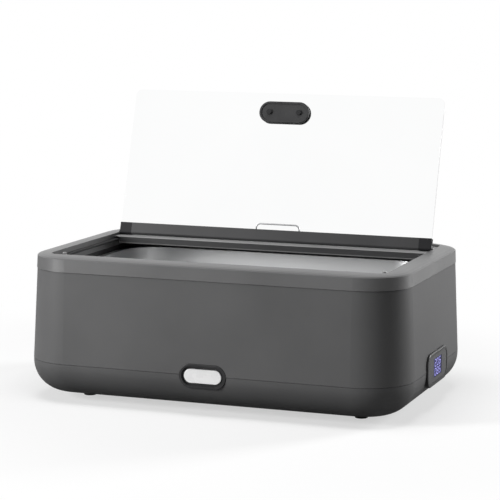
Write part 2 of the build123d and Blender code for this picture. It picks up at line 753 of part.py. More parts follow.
def badge_plate():
    plane = front_plane(-HALF_D - BEZEL_PROUD, BADGE_Z)
    top = -BEZEL_DISH + BADGE_PLATE_T
    plate = prism(plane, badge_shape(), -BEZEL_DISH, top)
    return fillet(plate.faces().sort_by(Axis.Y)[0].edges(), 0.5)


# Feet, hatch and rear fittings
def feet():
    pads = []
    for x, y in foot_places():
        pad = Pos(x, y, FOOT_HEIGHT / 2) * Cone(FOOT_R, FOOT_TOP_R, FOOT_HEIGHT)
        pad = fillet(pad.edges().sort_by(Axis.Z)[0], 1.0)
        pad -= rod(x, y, -1, FOOT_HEIGHT / 2, FOOT_SCREW_HEAD_R + 0.4)
        pads.append(pad - rod(x, y, -1, FOOT_HEIGHT + 1, FOOT_SCREW_R + 0.1))
    return pads


def foot_screws():
    z = FOOT_HEIGHT / 2
    screws = []
    for x, y in foot_places():
        head = rod(x, y, z - 1.8, z, FOOT_SCREW_HEAD_R)
        screws.append(head + rod(x, y, z, FLOOR_Z + 5, FOOT_SCREW_R))
    return screws


def hatch():
    """The service hatch in the floor, with slots for cooling air."""
    half_w = HATCH_LENGTH / 2 + HATCH_LAP
    half_d = HATCH_WIDTH / 2 + HATCH_LAP
    plate = slab(half_w, half_d, FOOT_HEIGHT, FOOT_HEIGHT + HATCH_SHEET, corner_r=10)
    for side in (-1, 1):
        for i in range(VENT_COUNT):
            y = (i - (VENT_COUNT - 1) / 2) * VENT_PITCH
            slot = Pos(side * VENT_X, y, 0) * SlotOverall(VENT_LENGTH, VENT_WIDTH)
            plate -= extrude(slot, FLOOR_Z)
    for x, y in hatch_screw_places():
        plate -= rod(x, y, 0, FLOOR_Z, HATCH_SCREW_R + 0.2)
    return plate


def hatch_screws():
    z = FOOT_HEIGHT
    return [screw(x, y, z, 7, HATCH_SCREW_R, HATCH_SCREW_HEAD_R) for x, y in hatch_screw_places()]


def power_inlet():
    """A recessed appliance inlet with three blades; no cord is fitted."""
    plane = rear_plane(INLET_X, REAR_Z)
    body = prism(plane, Rectangle(INLET_WIDTH, INLET_HEIGHT), -INLET_DEPTH, 0)
    flange = prism(plane, RectangleRounded(INLET_FLANGE_W, INLET_FLANGE_H, 4), 0.1, REAR_FLANGE_T)
    body += flange + prism(plane, Rectangle(INLET_WIDTH, INLET_HEIGHT), -1, 1)
    mouth = RectangleRounded(INLET_WIDTH - 3.5, INLET_HEIGHT - 4, 3)
    body -= prism(plane, mouth, -16, REAR_FLANGE_T + 1)
    for side, rise in ((-1, -1.5), (0, 2.5), (1, -1.5)):
        x = INLET_X + side * BLADE_PITCH
        blade = rear_plane(x, REAR_Z + rise)
        body += prism(blade, Rectangle(2, 4), -17, -3)
        body += prism(blade, Rectangle(0.8, 6), -INLET_DEPTH - 8, -INLET_DEPTH + 1)
    for side in (-1, 1):
        x = INLET_X + side * INLET_SCREW_PITCH / 2
        body -= prism(rear_plane(x, REAR_Z), Circle(INLET_SCREW_R + 0.2), -1, 5)
    return body


def inlet_screws():
    screws = []
    for side in (-1, 1):
        plane = rear_plane(INLET_X + side * INLET_SCREW_PITCH / 2, REAR_Z)
        head = prism(plane, Circle(INLET_SCREW_HEAD_R), REAR_FLANGE_T, REAR_FLANGE_T + 1.8)
        head = fillet(head.edges().sort_by(Axis.Y)[-1], 0.8)
        screws.append(head + prism(plane, Circle(INLET_SCREW_R), -8, REAR_FLANGE_T))
    return screws


def switch_housing():
    plane = rear_plane(SWITCH_X, REAR_Z)
    body = prism(plane, Rectangle(SWITCH_WIDTH, SWITCH_HEIGHT), -SWITCH_DEPTH, 1)
    rim = RectangleRounded(SWITCH_WIDTH + 2 * SWITCH_RIM, SWITCH_HEIGHT + 2 * SWITCH_RIM, 2)
    body += prism(plane, rim, 0.1, REAR_FLANGE_T)
    mouth = Rectangle(SWITCH_WIDTH - 2.4, SWITCH_HEIGHT - 2.4)
    body -= prism(plane, mouth, -SWITCH_DEPTH + 4, REAR_FLANGE_T + 1)
    for side in (-1, 1):
        blade = rear_plane(SWITCH_X, REAR_Z + side * 5)
        body += prism(blade, Rectangle(6, 0.8), -SWITCH_DEPTH - 8, -SWITCH_DEPTH + 1)
    return body


def switch_rocker():
    """A shallow V-shaped rocker, pressed in at its lower end."""
    half_w = SWITCH_WIDTH / 2 - 1.2 - ROCKER_GAP
    half_h = SWITCH_HEIGHT / 2 - 1.2 - ROCKER_GAP
    lean = half_h * math.tan(math.radians(ROCKER_TILT_DEG))
    y = REAR_Y
    top = REAR_FLANGE_T + ROCKER_PROUD
    points = [
        (y + top, half_h - 0.6),
        (y + top - lean, 0),
        (y + top - 2 * lean, -half_h + 0.9),
        (y - ROCKER_PIVOT_IN, -half_h + 1.2),
        (y - ROCKER_PIVOT_IN, half_h - 1.8),
    ]
    section = Plane(origin=(SWITCH_X - half_w, 0, REAR_Z), x_dir=(0, 1, 0), z_dir=(1, 0, 0))
    return extrude(section * make_face(Polyline(*points, close=True)), 2 * half_w)


def terminal_block():
    length, width, height = TERMINAL_SIZE
    x, y = TERMINAL_AT
    block = slab(length / 2, width / 2, FLOOR_Z, FLOOR_Z + height, x=x, y=y, corner_r=1)
    for i in range(4):
        at = x + (i - 1.5) * length / 4
        block -= rod(at, y, FLOOR_Z + height - 6, FLOOR_Z + height + 1, 3)
        end = Plane(origin=(at, y, FLOOR_Z + 6), x_dir=(1, 0, 0), z_dir=(0, 1, 0))
        block -= prism(end, Circle(WIRE_R + 0.4), -width, -width / 2 + 8)
        block -= prism(end, Circle(WIRE_R + 0.4), width / 2 - 8, width)
    return block


def wire_run(points, bend=8.0):
    path = FilletPolyline(*points, radius=bend)
    start = Plane(origin=path @ 0, z_dir=path % 0)
    return sweep(start * Circle(WIRE_R), path=path.wire())


def wiring():
    """Leads from the inlet and switch to the terminals and on to the board."""
    length, width, height = TERMINAL_SIZE
    x, y = TERMINAL_AT
    z = FLOOR_Z + 6
    back = y + width / 2 - 7
    front = y - width / 2 + 7
    runs = []
    rear_y = REAR_Y - INLET_DEPTH - 8
    for i, side in enumerate((-1, 1)):
        at = x + (i - 1.5) * length / 4
        source = INLET_X + side * BLADE_PITCH
        height_at = REAR_Z - 1.5
        runs.append(
            wire_run([(source, rear_y, height_at), (source, rear_y - 14, height_at),
                      (source, rear_y - 14, z + 14), (at, back + 12, z), (at, back, z)], 5.0)
        )
        runs.append(
            wire_run([(at, front, z), (at, front - 24 - 6 * i, z),
                      (150, front - 24 - 6 * i, z), (262, -12 + 6 * i, z + 24),
                      (PANEL_X - PANEL_DEPTH + 5.9, -12 + 6 * i, PANEL_Z)], 8.0)
        )
    return runs


# Lift-off cover
def cover_frame():
    ring = slab(COVER_HALF_W, COVER_HALF_D, LEDGE_Z + 0.1, RING_TOP_Z, corner_r=COVER_CORNER_R)
    inner_w = COVER_HALF_W - RING_SIDE
    inner_d = COVER_HALF_D - (RING_FRONT + RING_END) / 2
    middle = (RING_FRONT - RING_END) / 2
    return ring - slab(inner_w, inner_d, LEDGE_Z - 1, RING_TOP_Z + 1, y=middle, corner_r=8)


def rear_deck():
    """A folded sheet deck; its side walls rise into two ears for the hinge pins."""
    rear = COVER_HALF_D
    half_d = (rear - DECK_FRONT_Y) / 2
    y = DECK_FRONT_Y + half_d
    sheet = DECK_SHEET
    block = slab(COVER_HALF_W, COVER_HALF_D, RING_TOP_Z, DECK_Z, corner_r=COVER_CORNER_R)
    top_edges = block.faces().sort_by(Axis.Z)[-1].edges()
    block = fillet(top_edges, 1.0)
    deck = block & slab(COVER_HALF_W + 1, half_d, RING_TOP_Z, DECK_Z + 1, y=y)
    hollow = slab(
        COVER_HALF_W - sheet,
        COVER_HALF_D - sheet,
        RING_TOP_Z - 1,
        DECK_Z - sheet,
        corner_r=COVER_CORNER_R - sheet,
    )
    deck -= hollow
    lip_half = COVER_HALF_W - RING_SIDE - 0.5
    deck += box_between(
        -lip_half, lip_half, DECK_FRONT_Y, DECK_FRONT_Y + sheet, DECK_Z - DECK_LIP, DECK_Z
    )
    front = deck.edges().filter_by(Axis.X).filter_by_position(
        Axis.Z, DECK_Z - 0.01, DECK_Z + 0.01
    ).sort_by(Axis.Y)[0]
    deck = fillet(front, 1.0)
    for side in (-1, 1):
        x0 = min(side * COVER_HALF_W, side * (COVER_HALF_W - EAR_T))
        deck += box_between(
            x0, x0 + EAR_T, HINGE_Y - EAR_R, HINGE_Y + EAR_R, RING_TOP_Z, HINGE_Z
        )
        ear = Plane(origin=(x0, HINGE_Y, HINGE_Z), x_dir=(0, 1, 0), z_dir=(1, 0, 0))
        deck += prism(ear, Circle(EAR_R), 0, EAR_T)
        deck -= prism(ear, Circle(PIN_R + PIN_CLEARANCE), -1, EAR_T + 1)
    for x in (-1, 1):
        hole_x = x * (BAIL_WIDTH / 2 - BAIL_WIRE_R)
        deck -= rod(hole_x, BAIL_Y, RING_TOP_Z, DECK_Z + 1, BAIL_WIRE_R)
    for x, y_at in deck_screw_places():
        deck += rod(x, y_at, RING_TOP_Z, DECK_Z - sheet / 2, WELL_SCREW_R + 1.6)
        deck -= rod(x, y_at, RING_TOP_Z - 1, DECK_Z - sheet - 0.2, WELL_SCREW_R)
    return deck


def deck_screw_places():
    side = COVER_HALF_W - RING_SIDE / 2
    end = COVER_HALF_D - RING_END / 2
    return [(sx * side, 120.0) for sx in (-1, 1)] + [(sx * 130.0, end) for sx in (-1, 1)]


def cover_ring_drilled():
    ring = cover_frame()
    for x, y in deck_screw_places():
        ring -= rod(x, y, LEDGE_Z - 1, RING_TOP_Z + 1, WELL_SCREW_R + 0.2)
        ring -= rod(x, y, LEDGE_Z - 1, LEDGE_Z + 1.4, WELL_SCREW_HEAD_R)
    return ring


def deck_screws():
    top = DECK_Z - DECK_SHEET - 0.4
    screws = []
    for x, y in deck_screw_places():
        head = rod(x, y, LEDGE_Z + 0.3, LEDGE_Z + 1.4, WELL_SCREW_HEAD_R - 0.2)
        screws.append(head + rod(x, y, LEDGE_Z + 1.4, top, WELL_SCREW_R))
    return screws


def deck_trim():
    """A soft edge along the bottom of the deck's front lip."""
    half = COVER_HALF_W - RING_SIDE - 1.5
    z = DECK_Z - DECK_LIP
    y = DECK_FRONT_Y + DECK_SHEET / 2
    plane = Plane(origin=(-half, y, z), x_dir=(0, 1, 0), z_dir=(1, 0, 0))
    trim = prism(plane, Circle(DECK_TRIM_R + DECK_SHEET / 2), 0, 2 * half)
    lip = box_between(
        -half - 1, half + 1, DECK_FRONT_Y, DECK_FRONT_Y + DECK_SHEET, z, DECK_Z
    )
    return trim - lip


def wire_bail():
    x = BAIL_WIDTH / 2 - BAIL_WIRE_R
    top = DECK_Z + BAIL_RISE - BAIL_WIRE_R
    low = RING_TOP_Z + 0.5
    path = FilletPolyline(
        (-x, BAIL_Y, low), (-x, BAIL_Y, top), (x, BAIL_Y, top), (x, BAIL_Y, low),
        radius=BAIL_BEND_R,
    )
    start = Plane(origin=(-x, BAIL_Y, low), z_dir=(0, 0, 1))
    return sweep(start * Circle(BAIL_WIRE_R), path=path.wire())


def cover_bumpers():
    """Soft pads on the ring's front rail that the closed glass comes down on."""
    y = HINGE_Y - GLASS_REACH + BUMPER_INSET
    top = HINGE_Z - GLASS_T / 2 - REST_GAP
    pads = []
    for x in (-BUMPER_X, BUMPER_X):
        pad = rod(x, y, RING_TOP_Z, top, BUMPER_R)
        pads.append(fillet(pad.edges().sort_by(Axis.Z)[-1], 1.0))
    return pads


# Lid, drawn closed with the glass level, then swung up by opened()
def opened(part):
    return part.rotate(Axis((0, HINGE_Y, HINGE_Z), (1, 0, 0)), -LID_SWING_DEG)


def lid_plane(x=0.0):
    """Looks along +X from the hinge line; its local x runs forward along the lid."""
    return Plane(origin=(x, HINGE_Y, HINGE_Z), x_dir=(0, -1, 0), z_dir=(-1, 0, 0))


def lid_profile(half, reach, heel=0.0):
    """A rounded strip section about the hinge line."""
    section = Circle(half) + Pos(reach / 2, 0) * Rectangle(reach, 2 * half)
    if heel:
        block = Pos(-heel / 2, HEEL_WIDTH / 2) * Rectangle(heel, HEEL_WIDTH)
        section += Rot(0, 0, -LID_LEAN_DEG) * block
    return section


def lid_strip(section, half_length, x=0.0):
    return extrude(lid_plane(x + half_length) * section, 2 * half_length)


def glass_slot(half_gap, start, half_length, x=0.0):
    reach = CHANNEL_REACH + 1 - start
    section = Pos(start + reach / 2, 0) * Rectangle(reach, 2 * half_gap)
    return lid_strip(section, half_length, x)


def lid_glass():
    front = HINGE_Y - GLASS_REACH
    rear = HINGE_Y - GLASS_START
    low = HINGE_Z - GLASS_T / 2
    sheet = box_between(
        -GLASS_HALF_WIDTH, GLASS_HALF_WIDTH, front, rear, low, low + GLASS_T
    )
    corners = sheet.edges().filter_by(Axis.Z).sort_by(Axis.Y)[:2]
    sheet = fillet(corners, GLASS_CORNER_R)
    rim = sheet.faces().sort_by(Axis.Y)[0].edges().filter_by(Axis.X)
    sheet = fillet(rim, 0.8)
    for side in (-1, 1):
        sheet -= rod(side * HANDLE_SCREW_X, HANDLE_Y, low - 1, low + GLASS_T + 1, HANDLE_HOLE_R)
    return sheet


HANDLE_Y = HINGE_Y - HANDLE_REACH
HANDLE_HOLE_R = HANDLE_SCREW_R + 0.5


def channel_half_length():
    return LID_HALF_WIDTH - CAP_LENGTH - CAP_GAP


def lid_channel():
    half = channel_half_length()
    outer = lid_strip(lid_profile(CHANNEL_HALF, CHANNEL_REACH), half)
    space = lid_profile(CHANNEL_HALF - CHANNEL_SHEET, CHANNEL_REACH + 1)
    return outer - lid_strip(space, half + 1)


def lid_gasket():
    half = channel_half_length()
    start = GLASS_START - GASKET_T
    length = CHANNEL_REACH - 0.4 - start
    outer = Pos(start + length / 2, 0) * Rectangle(length, GLASS_T + 2 * GASKET_T)
    strip = lid_strip(outer, half)
    return strip - glass_slot(GLASS_T / 2, GLASS_START, half + 1)


def lid_end_caps():
    """Moulded ends that grip the glass, hold the pins and carry the heel stop."""
    caps = []
    heel = HINGE_Z - DECK_Z - HEEL_GAP
    for side in (-1, 1):
        x = side * (LID_HALF_WIDTH - CAP_LENGTH / 2)
        section = lid_profile(CHANNEL_HALF + CAP_PROUD, CHANNEL_REACH, heel)
        cap = lid_strip(section, CAP_LENGTH / 2, x)
        cap -= glass_slot(GLASS_T / 2 + 0.05, GLASS_START - 0.1, CAP_LENGTH / 2 + 1, x)
        cap -= lid_strip(Circle(PIN_R), CAP_LENGTH / 2 - 2, x + side * 3)
        caps.append(cap)
    return caps


def hinge_pins():
    inner = LID_HALF_WIDTH - CAP_LENGTH + 5.2
    length = COVER_HALF_W + 0.3 - inner
    return [
        lid_strip(Circle(PIN_R), length / 2, side * (inner + length / 2)) for side in (-1, 1)
    ]


def handle_plate():
    """The plate inside the glass: a raised border round a shallow dish."""
    top = HINGE_Z - GLASS_T / 2 - HANDLE_SEAL_T
    slot = Pos(0, HANDLE_Y, top - HANDLE_PLATE_T) * SlotOverall(HANDLE_LENGTH, HANDLE_WIDTH)
    plate = extrude(slot, HANDLE_PLATE_T)
    plate = fillet(plate.faces().sort_by(Axis.Z)[0].edges(), 1.2)
    dish = SlotOverall(HANDLE_LENGTH - 2 * HANDLE_PLATE_RIM, HANDLE_WIDTH - 2 * HANDLE_PLATE_RIM)
    plate -= extrude(Pos(0, HANDLE_Y, top - HANDLE_PLATE_T) * dish, HANDLE_PLATE_DISH)
    for side in (-1, 1):
        plate -= rod(side * HANDLE_SCREW_X, HANDLE_Y, top - 9, top + 1, HANDLE_SCREW_R + 0.2)
    return plate


def handle_seals():
    """Thin pads that keep the handle off both faces of the glass."""
    seals = []
    for z in (HINGE_Z - GLASS_T / 2 - HANDLE_SEAL_T, HINGE_Z + GLASS_T / 2):
        pad = Pos(0, HANDLE_Y, z) * SlotOverall(HANDLE_LENGTH - 2, HANDLE_WIDTH - 2)
        pad = extrude(pad, HANDLE_SEAL_T)
        for side in (-1, 1):
            pad -= rod(side * HANDLE_SCREW_X, HANDLE_Y, z - 1, z + 2, HANDLE_SCREW_R + 0.2)
        seals.append(pad)
    return seals


def handle_grip():
    """A bridge grip: two feet on a base, a raised bar and room for the fingers."""
    low = HINGE_Z + GLASS_T / 2 + HANDLE_SEAL_T
    points = [
        (-GRIP_FOOT_HALF, 0),
        (GRIP_FOOT_HALF, 0),
        (GRIP_FOOT_HALF, GRIP_FOOT_T),
        (GRIP_TOP_HALF, GRIP_HEIGHT),
        (-GRIP_TOP_HALF, GRIP_HEIGHT),
        (-GRIP_FOOT_HALF, GRIP_FOOT_T),
    ]
    side_plane = Plane(origin=(0, HANDLE_Y, low), x_dir=(1, 0, 0), z_dir=(0, -1, 0))
    solid = extrude(side_plane * make_face(Polyline(*points, close=True)), GRIP_WAIST / 2, both=True)
    gap_low = GRIP_FOOT_T
    gap_high = GRIP_HEIGHT - GRIP_BAR_T
    gap = Pos(0, (gap_low + gap_high) / 2) * RectangleRounded(
        GRIP_GAP_LENGTH, gap_high - gap_low, 4
    )
    solid -= extrude(side_plane * gap, GRIP_WAIST, both=True)
    upper = solid.edges().filter_by(Axis.X).filter_by_position(
        Axis.Z, low + GRIP_HEIGHT - 0.01, low + GRIP_HEIGHT + 0.01
    )
    solid = fillet(upper, 3.0)
    base = extrude(Pos(0, HANDLE_Y, low) * SlotOverall(HANDLE_LENGTH, HANDLE_WIDTH), 3.0)
    base = fillet(base.faces().sort_by(Axis.Z)[-1].edges(), 1.2)
    solid += base
    for side in (-1, 1):
        x = side * HANDLE_SCREW_X
        solid -= rod(x, HANDLE_Y, low - 1, low + GRIP_FOOT_T - 1.5, HANDLE_SCREW_R)
    return solid


def handle_screws():
    """Two screws with hexagon heads in the dish of the plate."""
    face = HINGE_Z - GLASS_T / 2 - HANDLE_SEAL_T - HANDLE_PLATE_T + HANDLE_PLATE_DISH
    screws = []
    for side in (-1, 1):
        x = side * HANDLE_SCREW_X
        hexagon = Pos(x, HANDLE_Y, face - SCREW_HEAD_H) * RegularPolygon(SCREW_HEAD_R, 6)
        head = extrude(hexagon, SCREW_HEAD_H)
        reach = HINGE_Z + GLASS_T / 2 + HANDLE_SEAL_T + GRIP_FOOT_T - 2
        screws.append(head + rod(x, HANDLE_Y, face, reach, HANDLE_SCREW_R))
    return screws


PARTS = {
    "body_shell": body_shell,
    "base_shell": base_shell,
    "base_screws": base_screws,
    "top_frame": top_frame,
    "frame_screws": frame_screws,
    "inner_well": inner_well,
    "well_screws": well_screws,
    "heater_plate": heater_plate,
    "heating_element": heating_element,
    "element_clamps": element_clamps,
    "insulation_blanket": insulation_blanket,
    "heat_shield": heat_shield,
    "temperature_sensor": temperature_sensor,
    "thermal_cutout": thermal_cutout,
    "control_housing": control_housing,
    "control_fascia": control_fascia,
    "display_window": display_window,
    "display_module": display_module,
    "control_board": control_board,
    "board_screws": board_screws,
    "badge_bezel": badge_bezel,
    "badge_plate": badge_plate,
    "feet": feet,
    "foot_screws": foot_screws,
    "hatch": hatch,
    "hatch_screws": hatch_screws,
    "power_inlet": power_inlet,
    "inlet_screws": inlet_screws,
    "switch_housing": switch_housing,
    "switch_rocker": switch_rocker,
    "terminal_block": terminal_block,
    "wiring": wiring,
    "cover_frame": cover_ring_drilled,
    "rear_deck": rear_deck,
    "deck_screws": deck_screws,
    "deck_trim": deck_trim,
    "wire_bail": wire_bail,
    "cover_bumpers": cover_bumpers,
    "food_pan": food_pan,
}

LID_PARTS = {
    "lid_glass": lid_glass,
    "lid_channel": lid_channel,
    "lid_gasket": lid_gasket,
    "lid_end_caps": lid_end_caps,
    "hinge_pins": hinge_pins,
    "handle_plate": handle_plate,
    "handle_seals": handle_seals,
    "handle_grip": handle_grip,
    "handle_screws": handle_screws,
}


def save(name, made, swing):
    solids = made if isinstance(made, list) else [made]
    loose = [solid for part in solids for solid in part.solids()]
    if swing:
        loose = [opened(solid) for solid in loose]
    whole = loose[0] if len(loose) == 1 else Compound(loose)
    export_step(whole, os.path.join("parts", name + ".step"))


os.makedirs("parts", exist_ok=True)
for name, make in PARTS.items():
    save(name, make(), False)
for name, make in LID_PARTS.items():
    save(name, make(), True)
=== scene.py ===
# %% [markdown]
# An electric chafing dish stands on a pale table with its lid open. The rigid pieces come from the imported model,
# which gives the frame: every piece is already at its place and size, in metres. This lesson loads that frame,
# places the camera, builds a small studio, gives each piece a finish, and adds the lit figures on the screen.

# %% Load the frame
import math

import bpy
from mathutils import Matrix, Vector


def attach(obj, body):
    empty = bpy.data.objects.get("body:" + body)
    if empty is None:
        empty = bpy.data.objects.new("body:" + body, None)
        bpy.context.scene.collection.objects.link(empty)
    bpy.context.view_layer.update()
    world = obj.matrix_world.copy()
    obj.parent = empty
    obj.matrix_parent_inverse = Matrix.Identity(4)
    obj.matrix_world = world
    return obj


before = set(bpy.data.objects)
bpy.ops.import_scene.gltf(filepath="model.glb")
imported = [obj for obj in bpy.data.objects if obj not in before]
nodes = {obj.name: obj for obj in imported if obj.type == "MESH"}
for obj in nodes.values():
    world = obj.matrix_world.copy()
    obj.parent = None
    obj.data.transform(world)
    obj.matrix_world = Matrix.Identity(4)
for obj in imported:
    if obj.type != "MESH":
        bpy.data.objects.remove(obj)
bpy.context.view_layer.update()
print("nodes:", len(nodes))

# %% [markdown]
# A product picture is taken from well back with a long lens, so that the sides hardly converge. The camera comes
# first, because it decides what needs care. A tracking constraint would be the quick way to aim it, but it would
# lose the small roll of the original picture. So the camera is built from three directions: right, up and back.

# %% Camera directions
AZIMUTH = math.radians(19.8)
ELEVATION = math.radians(8.1)
ROLL = math.radians(0.4)

back = Vector((
    math.sin(AZIMUTH) * math.cos(ELEVATION),
    -math.cos(AZIMUTH) * math.cos(ELEVATION),
    math.sin(ELEVATION),
))
level = Vector((math.cos(AZIMUTH), math.sin(AZIMUTH), 0.0))
right = level * math.cos(ROLL) + back.cross(level) * math.sin(ROLL)
upward = back.cross(right)
print("camera looks along", [round(-v, 3) for v in back])

# %% [markdown]
# The camera itself stands on the line that leads back from the dish. Three metres and a lens of 143 mm fill the
# picture as the original does. A shorter lens from nearby would fill it too, but its sides would converge.

# %% Camera
DISTANCE = 3.087
AIM = Vector((0.0012, 0.0, 0.2238))
SENSOR_MM = 36.0
LENS_MM = 142.61
FARTHEST_SEEN = 50.0

camera_data = bpy.data.cameras.new("camera")
camera_data.sensor_width = SENSOR_MM
camera_data.lens = LENS_MM
camera_data.clip_end = FARTHEST_SEEN
camera = bpy.data.objects.new("camera", camera_data)
bpy.context.scene.collection.objects.link(camera)
stand = Matrix((right, upward, back)).transposed().to_4x4()
stand.translation = AIM + back * DISTANCE
camera.matrix_world = stand
bpy.context.scene.camera = camera
print("camera at", [round(v, 3) for v in stand.translation])

# %% [markdown]
# Shaders are small graphs of nodes, and the same few steps come back in each of them: start an empty material,
# combine two numbers, spread a number over a range, and end at the output. These helpers make one such step each,
# so that a finish further down reads like its description.

# %% Helpers for shader graphs
WHITE = (1.0, 1.0, 1.0, 1.0)


def new_material(name):
    """An empty material and its graph."""
    material = bpy.data.materials.new(name)
    material.use_nodes = True
    material.node_tree.nodes.clear()
    return material, material.node_tree


def combine(tree, operation, first, second):
    """A Math node's result; each input is a socket or a plain number."""
    node = tree.nodes.new("ShaderNodeMath")
    node.operation = operation
    for socket, value in zip(node.inputs, (first, second)):
        if isinstance(value, float):
            socket.default_value = value
        else:
            tree.links.new(value, socket)
    return node.outputs["Value"]


def spread(tree, source, from_range, to_range):
    """Spreads a number from one range over another."""
    node = tree.nodes.new("ShaderNodeMapRange")
    node.inputs["From Min"].default_value = from_range[0]
    node.inputs["From Max"].default_value = from_range[1]
    node.inputs["To Min"].default_value = to_range[0]
    node.inputs["To Max"].default_value = to_range[1]
    tree.links.new(source, node.inputs["Value"])
    return node


def close_graph(tree, surface):
    """Ends a material's graph at its output."""
    output = tree.nodes.new("ShaderNodeOutputMaterial")
    tree.links.new(surface, output.inputs["Surface"])


print("helpers:", new_material.__name__, combine.__name__, spread.__name__, close_graph.__name__)

# %% [markdown]
# The dish stands in a white studio. More light would also make the background white, but it would wash out the
# dish. So the surround is white only where the camera, a reflection or the clear lid looks at it. The light that it
# gives to surfaces is far lower, which keeps the soft shadow on the floor and the tones of the pale parts.

# %% Surround
SURROUND_LIGHT = 0.05

world = bpy.data.worlds.new("surround")
bpy.context.scene.world = world
world.use_nodes = True
tree = world.node_tree
tree.nodes.clear()
rays = tree.nodes.new("ShaderNodeLightPath").outputs
seen = combine(tree, "MAXIMUM", rays["Is Camera Ray"], rays["Is Glossy Ray"])
white = combine(tree, "MAXIMUM", seen, rays["Is Transmission Ray"])
power = spread(tree, white, (0.0, 1.0), (SURROUND_LIGHT, 1.0))
glow = tree.nodes.new("ShaderNodeBackground")
glow.inputs["Color"].default_value = WHITE
tree.links.new(power.outputs["Result"], glow.inputs["Strength"])
output = tree.nodes.new("ShaderNodeOutputWorld")
tree.links.new(glow.outputs[0], output.inputs["Surface"])
print("surround gives", SURROUND_LIGHT, "of its white")

# %% [markdown]
# The floor is a sheet of pale paper. Near the dish it is matt, so that it takes the shadow, with a little white of
# its own for the camera. Further out it fades to pure white, so that no horizon or edge shows. The fade is measured
# from the middle of the dish, in metres.

# %% Floor
FLOOR_SIZE = 12.0
FLOOR_TONE = (0.38, 0.38, 0.38, 1.0)
FLOOR_GLOW_NEAR = 0.55
FADE_FROM, FADE_TO = 0.35, 0.9


def white_glow(tree, strength):
    """White light of a strength that is a socket or a plain number."""
    node = tree.nodes.new("ShaderNodeEmission")
    node.inputs["Color"].default_value = WHITE
    if isinstance(strength, float):
        node.inputs["Strength"].default_value = strength
    else:
        tree.links.new(strength, node.inputs["Strength"])
    return node.outputs[0]


bpy.ops.object.select_all(action="DESELECT")
bpy.ops.mesh.primitive_plane_add(size=FLOOR_SIZE, location=(0.0, 0.0, 0.0))
floor = bpy.context.object
floor.name = "floor"

floor_paper, tree = new_material("floor_paper")
reach = tree.nodes.new("ShaderNodeVectorMath")
reach.operation = "LENGTH"
tree.links.new(tree.nodes.new("ShaderNodeTexCoord").outputs["Object"], reach.inputs[0])
fade = spread(tree, reach.outputs["Value"], (FADE_FROM, FADE_TO), (0.0, 1.0))
fade.interpolation_type = "SMOOTHSTEP"
rays = tree.nodes.new("ShaderNodeLightPath").outputs
looked_at = combine(tree, "MAXIMUM", rays["Is Camera Ray"], rays["Is Transmission Ray"])
matt = tree.nodes.new("ShaderNodeBsdfDiffuse")
matt.inputs["Color"].default_value = FLOOR_TONE
near = tree.nodes.new("ShaderNodeAddShader")
tree.links.new(white_glow(tree, combine(tree, "MULTIPLY", looked_at, FLOOR_GLOW_NEAR)), near.inputs[0])
tree.links.new(matt.outputs[0], near.inputs[1])
ground = tree.nodes.new("ShaderNodeMixShader")
tree.links.new(combine(tree, "MULTIPLY", fade.outputs["Result"], looked_at), ground.inputs["Fac"])
tree.links.new(near.outputs[0], ground.inputs[1])
tree.links.new(white_glow(tree, 1.0), ground.inputs[2])
close_graph(tree, ground.outputs[0])
floor.data.materials.append(floor_paper)
bpy.context.scene.view_settings.view_transform = "Standard"
print("floor:", FLOOR_SIZE, "m square, white from", FADE_TO, "m outwards")

# %% [markdown]
# Three large lamps stand in for a studio's soft boxes. One hangs high over the dish, one at the front left grazes
# the badge side, and one behind the right end draws a bright edge round the control panel's corner. A large lamp
# gives soft shadows, and its size decides how soft they are. The top lamp isn't mirrored, or it would show as a
# white patch in the pan and the lid.

# %% Lamps
LAMP_AIM = Vector((0.0, 0.0, 0.2))


def soft_box(name, bearing, rise, distance, size, watts, mirrored=True):
    """An area lamp that faces the dish from a bearing and a rise in degrees."""
    lamp_data = bpy.data.lights.new(name, "AREA")
    lamp_data.shape = "RECTANGLE"
    lamp_data.size, lamp_data.size_y = size
    lamp_data.energy = watts
    lamp = bpy.data.objects.new(name, lamp_data)
    bpy.context.scene.collection.objects.link(lamp)
    turn, tilt = math.radians(bearing), math.radians(rise)
    toward = Vector((math.sin(turn) * math.cos(tilt), -math.cos(turn) * math.cos(tilt), math.sin(tilt)))
    lamp.location = toward * distance + LAMP_AIM
    lamp.rotation_euler = toward.to_track_quat("Z", "Y").to_euler()
    lamp.visible_camera = False
    lamp.visible_glossy = mirrored
    print(name, "at", [round(v, 2) for v in lamp.location], "with", watts, "W")


soft_box("top_box", 0.0, 78.0, 2.4, (1.6, 1.2), 40.0, mirrored=False)
soft_box("front_box", -47.0, 14.0, 2.6, (0.6, 0.9), 66.0)
soft_box("side_box", 134.0, 14.0, 2.4, (0.6, 0.9), 56.0)

# %% [markdown]
# No real surface is one flat colour. Its tone and gloss drift slowly over some centimetres, and a grain finer than
# a millimetre breaks up its highlights. Both are noise on Object coordinates, which are metres on this part, so the
# scale of a pattern is its real scale. A photograph could be laid on instead, but noise has no seams and suits any
# piece. These two helpers make the noise and turn it into tones.

# %% Noise and tones
NOISE_LOW, NOISE_HIGH = 0.3, 0.7


def pattern(tree, scale, detail=3.0, stretch=(1.0, 1.0, 1.0)):
    """Noise at a real scale; stretch draws it out along an axis."""
    mapping = tree.nodes.new("ShaderNodeMapping")
    mapping.inputs["Scale"].default_value = stretch
    tree.links.new(tree.nodes.new("ShaderNodeTexCoord").outputs["Object"], mapping.inputs["Vector"])
    noise = tree.nodes.new("ShaderNodeTexNoise")
    noise.inputs["Scale"].default_value = scale
    noise.inputs["Detail"].default_value = detail
    noise.inputs["Roughness"].default_value = 0.5
    tree.links.new(mapping.outputs["Vector"], noise.inputs["Vector"])
    return noise.outputs["Fac"]


